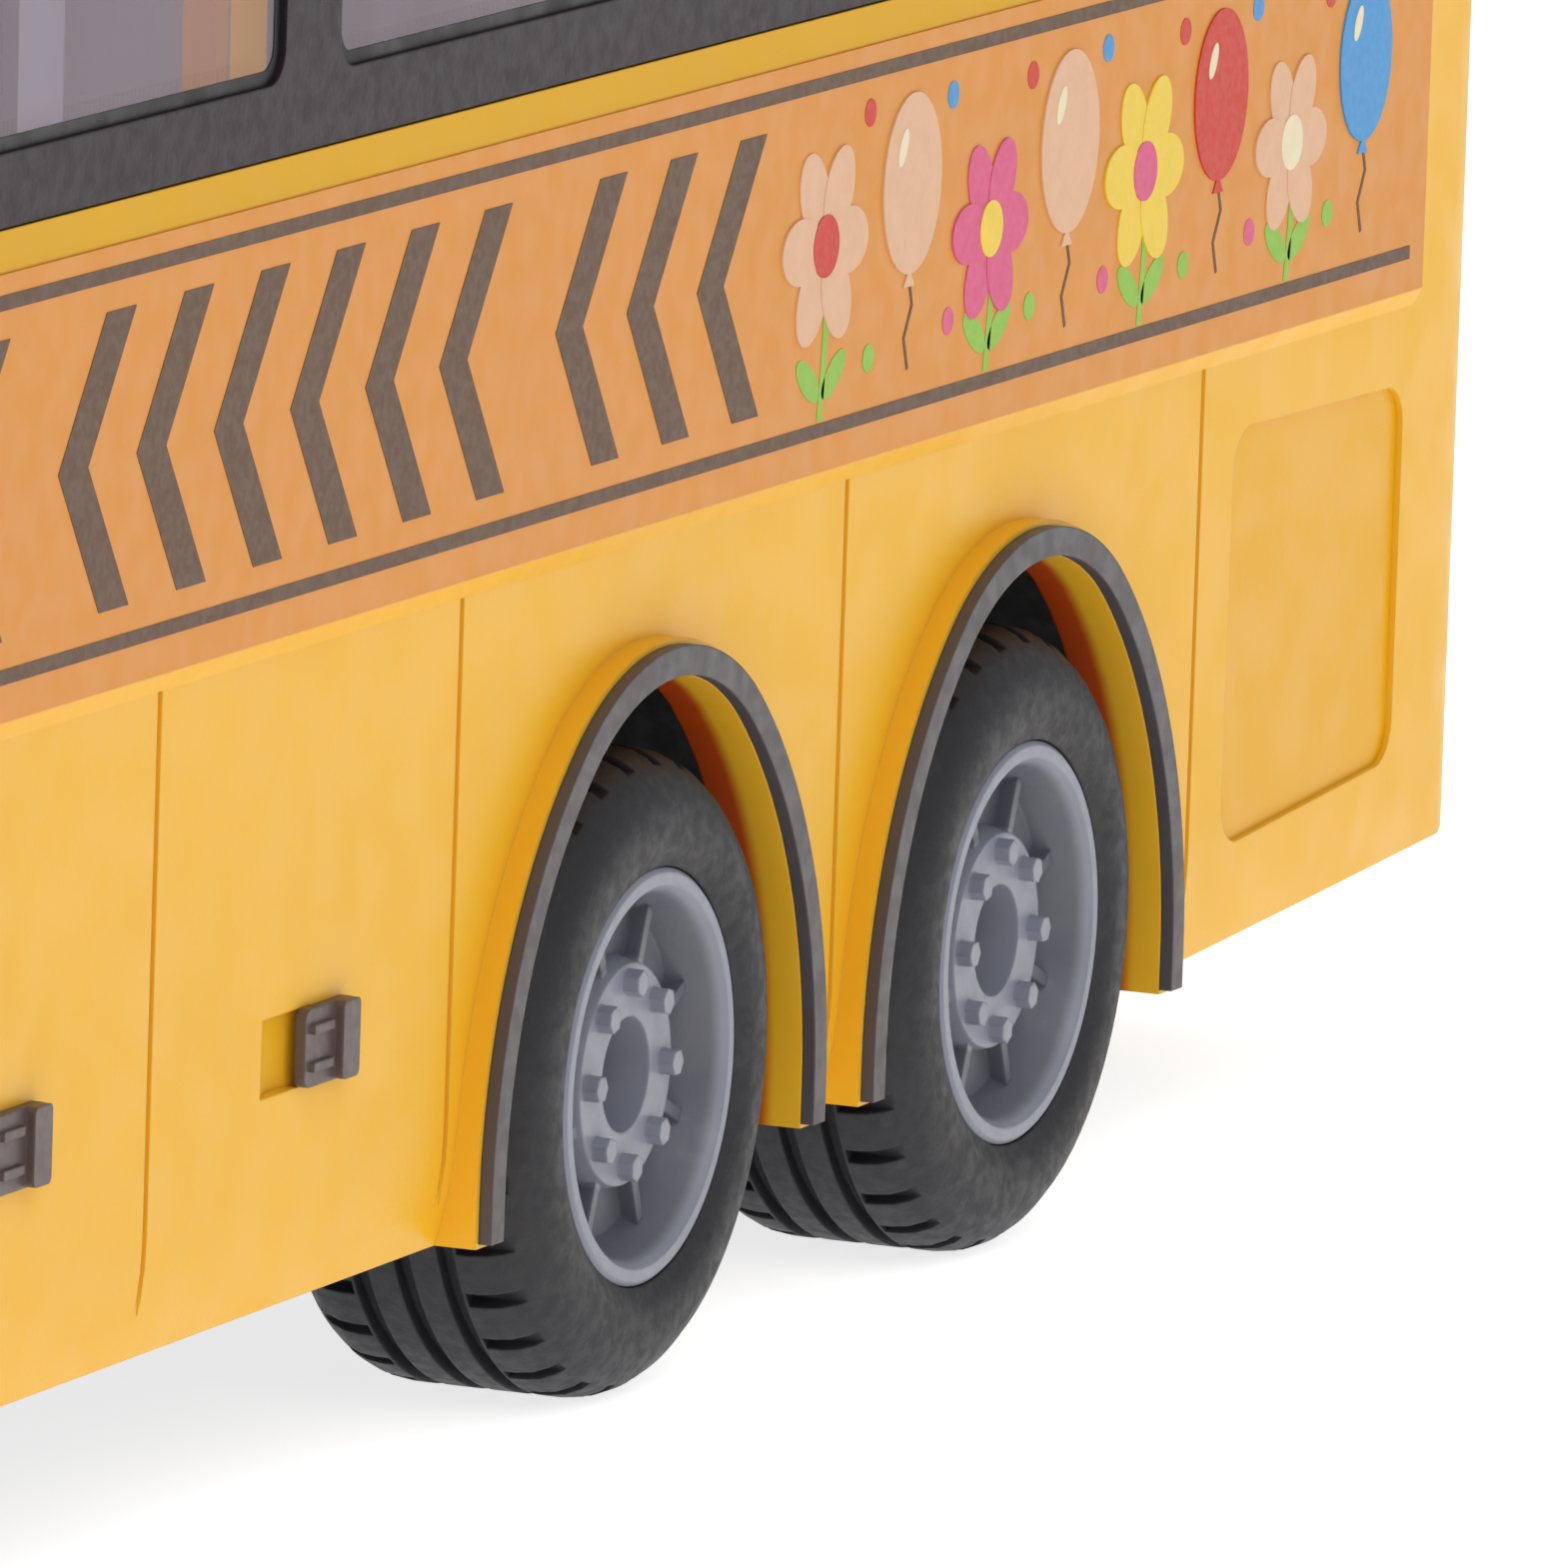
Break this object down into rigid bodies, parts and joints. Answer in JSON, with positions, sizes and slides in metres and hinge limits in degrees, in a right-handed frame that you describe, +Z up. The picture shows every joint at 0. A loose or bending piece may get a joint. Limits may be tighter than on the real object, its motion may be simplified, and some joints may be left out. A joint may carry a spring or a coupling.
{
  "type": "toy bus",
  "caption": "Yellow battery-driven toy coach with smoked side windows, an orange band, steered front wheels and a geared rear axle.",
  "frame": {"origin": "on the ground under the middle of the bus", "axes": "+X towards the tail, +Y towards the bus's right side, +Z up"},
  "size_m": [0.3353, 0.1014, 0.108],
  "materials": {
    "yellow_body": "satin",
    "black_plastic": "matte",
    "dark_frame": "satin",
    "smoked_pane": "gloss, see-through",
    "clear_lens": "clear",
    "chromed_plastic": "gloss",
    "red_lens": "gloss",
    "grey_trim": "satin",
    "handle_grey": "satin",
    "printed_film": "printed, satin",
    "seat_plastic": "matte",
    "board": "satin",
    "cell_wrap": "gloss",
    "steel": "brushed",
    "gear_plastic": "matte",
    "rim_plastic": "satin",
    "tyre_rubber": "matte"
  },
  "bodies": {
    "bus": {"body_shell": "yellow_body", "chassis_pan": "black_plastic", "window_frame_left": "dark_frame", "window_frame_right": "dark_frame", "window_panes_left": "smoked_pane", "window_panes_right": "smoked_pane", "windscreen": "smoked_pane", "rear_window": "smoked_pane", "front_grille": "black_plastic", "headlight_lenses": "clear_lens", "headlight_reflectors": "chromed_plastic", "headlight_leds": "clear_lens", "tail_lights": "red_lens", "mirror_left": "black_plastic", "mirror_right": "black_plastic", "wipers": "black_plastic", "arch_trim_front_left": "grey_trim", "arch_trim_front_right": "grey_trim", "arch_trim_drive_left": "grey_trim", "arch_trim_drive_right": "grey_trim", "arch_trim_tag_left": "grey_trim", "arch_trim_tag_right": "grey_trim", "hatch_handles_left": "handle_grey", "hatch_handles_right": "handle_grey", "side_decal_left": "printed_film", "side_decal_right": "printed_film", "seat_deck": "seat_plastic", "circuit_board": "board", "battery_pack": "cell_wrap", "battery_cover": "black_plastic", "battery_cover_screw": "steel", "chassis_screws": "steel", "gearbox_frame": "gear_plastic", "drive_motor": "steel", "reduction_shaft": "steel", "steering_servo": "black_plastic"},
    "drive_wheels": {"drive_axle": "steel", "axle_gear": "gear_plastic", "rim_drive_left": "rim_plastic", "rim_drive_right": "rim_plastic", "tyre_drive_left": "tyre_rubber", "tyre_drive_right": "tyre_rubber"},
    "tag_wheels": {"tag_axle": "steel", "rim_tag_left": "rim_plastic", "rim_tag_right": "rim_plastic", "tyre_tag_left": "tyre_rubber", "tyre_tag_right": "tyre_rubber"},
    "motor_rotor": {"motor_pinion": "gear_plastic"},
    "reduction": {"reduction_gear": "gear_plastic"},
    "steer_knuckle_left": {"knuckle_left": "black_plastic"},
    "steer_knuckle_right": {"knuckle_right": "black_plastic"},
    "front_wheel_left": {"rim_front_left": "rim_plastic", "tyre_front_left": "tyre_rubber"},
    "front_wheel_right": {"rim_front_right": "rim_plastic", "tyre_front_right": "tyre_rubber"},
    "steer_tie_rod": {"tie_rod": "black_plastic"},
    "steer_servo_arm": {"servo_arm": "gear_plastic"},
    "switch_slider": {"power_switch": "black_plastic"}
  },
  "joints": [
    {"name": "drive_spin", "type": "hinge", "parent": "bus", "child": "drive_wheels", "pos_m": [0.0625, 0, 0.014], "axis": [0, 1, 0], "continuous": true},
    {"name": "tag_spin", "type": "hinge", "parent": "bus", "child": "tag_wheels", "pos_m": [0.1032, 0, 0.014], "axis": [0, 1, 0], "continuous": true},
    {"name": "reduction_spin", "type": "hinge", "parent": "bus", "child": "reduction", "pos_m": [0.05856, 0, 0.0205], "axis": [0, 1, 0], "continuous": true},
    {"name": "motor_spin", "type": "hinge", "parent": "bus", "child": "motor_rotor", "pos_m": [0.051, 0, 0.0234], "axis": [0, 1, 0], "continuous": true},
    {"name": "steer_left", "type": "hinge", "parent": "bus", "child": "steer_knuckle_left", "pos_m": [-0.0975, -0.025, 0.014], "axis": [0, 0, 1], "range_deg": [-20, 20], "stiffness_Nm_per_rad": 0.02},
    {"name": "steer_right", "type": "hinge", "parent": "bus", "child": "steer_knuckle_right", "pos_m": [-0.0975, 0.025, 0.014], "axis": [0, 0, 1], "range_deg": [-21, 21]},
    {"name": "tie_rod_slide", "type": "slide", "parent": "bus", "child": "steer_tie_rod", "axis": [0, 1, 0], "range_m": [-0.0033, 0.0033]},
    {"name": "servo_turn", "type": "hinge", "parent": "bus", "child": "steer_servo_arm", "pos_m": [-0.0755, 0, 0.0165], "axis": [0, 0, 1], "range_deg": [-15, 15]},
    {"name": "front_left_spin", "type": "hinge", "parent": "steer_knuckle_left", "child": "front_wheel_left", "pos_m": [-0.0975, -0.036, 0.014], "axis": [0, 1, 0], "continuous": true},
    {"name": "front_right_spin", "type": "hinge", "parent": "steer_knuckle_right", "child": "front_wheel_right", "pos_m": [-0.0975, 0.036, 0.014], "axis": [0, 1, 0], "continuous": true},
    {"name": "power_slide", "type": "slide", "parent": "bus", "child": "switch_slider", "axis": [1, 0, 0], "range_m": [0, 0.003]}
  ],
  "couplings": [
    {"joint": "reduction_spin", "follows": "drive_spin", "ratio": -1.5},
    {"joint": "motor_spin", "follows": "drive_spin", "ratio": 2.5},
    {"joint": "steer_right", "follows": "steer_left", "ratio": 1},
    {"joint": "tie_rod_slide", "follows": "steer_left", "m_per_rad": 0.009},
    {"joint": "servo_turn", "follows": "steer_left", "ratio": -0.69231}
  ]
}
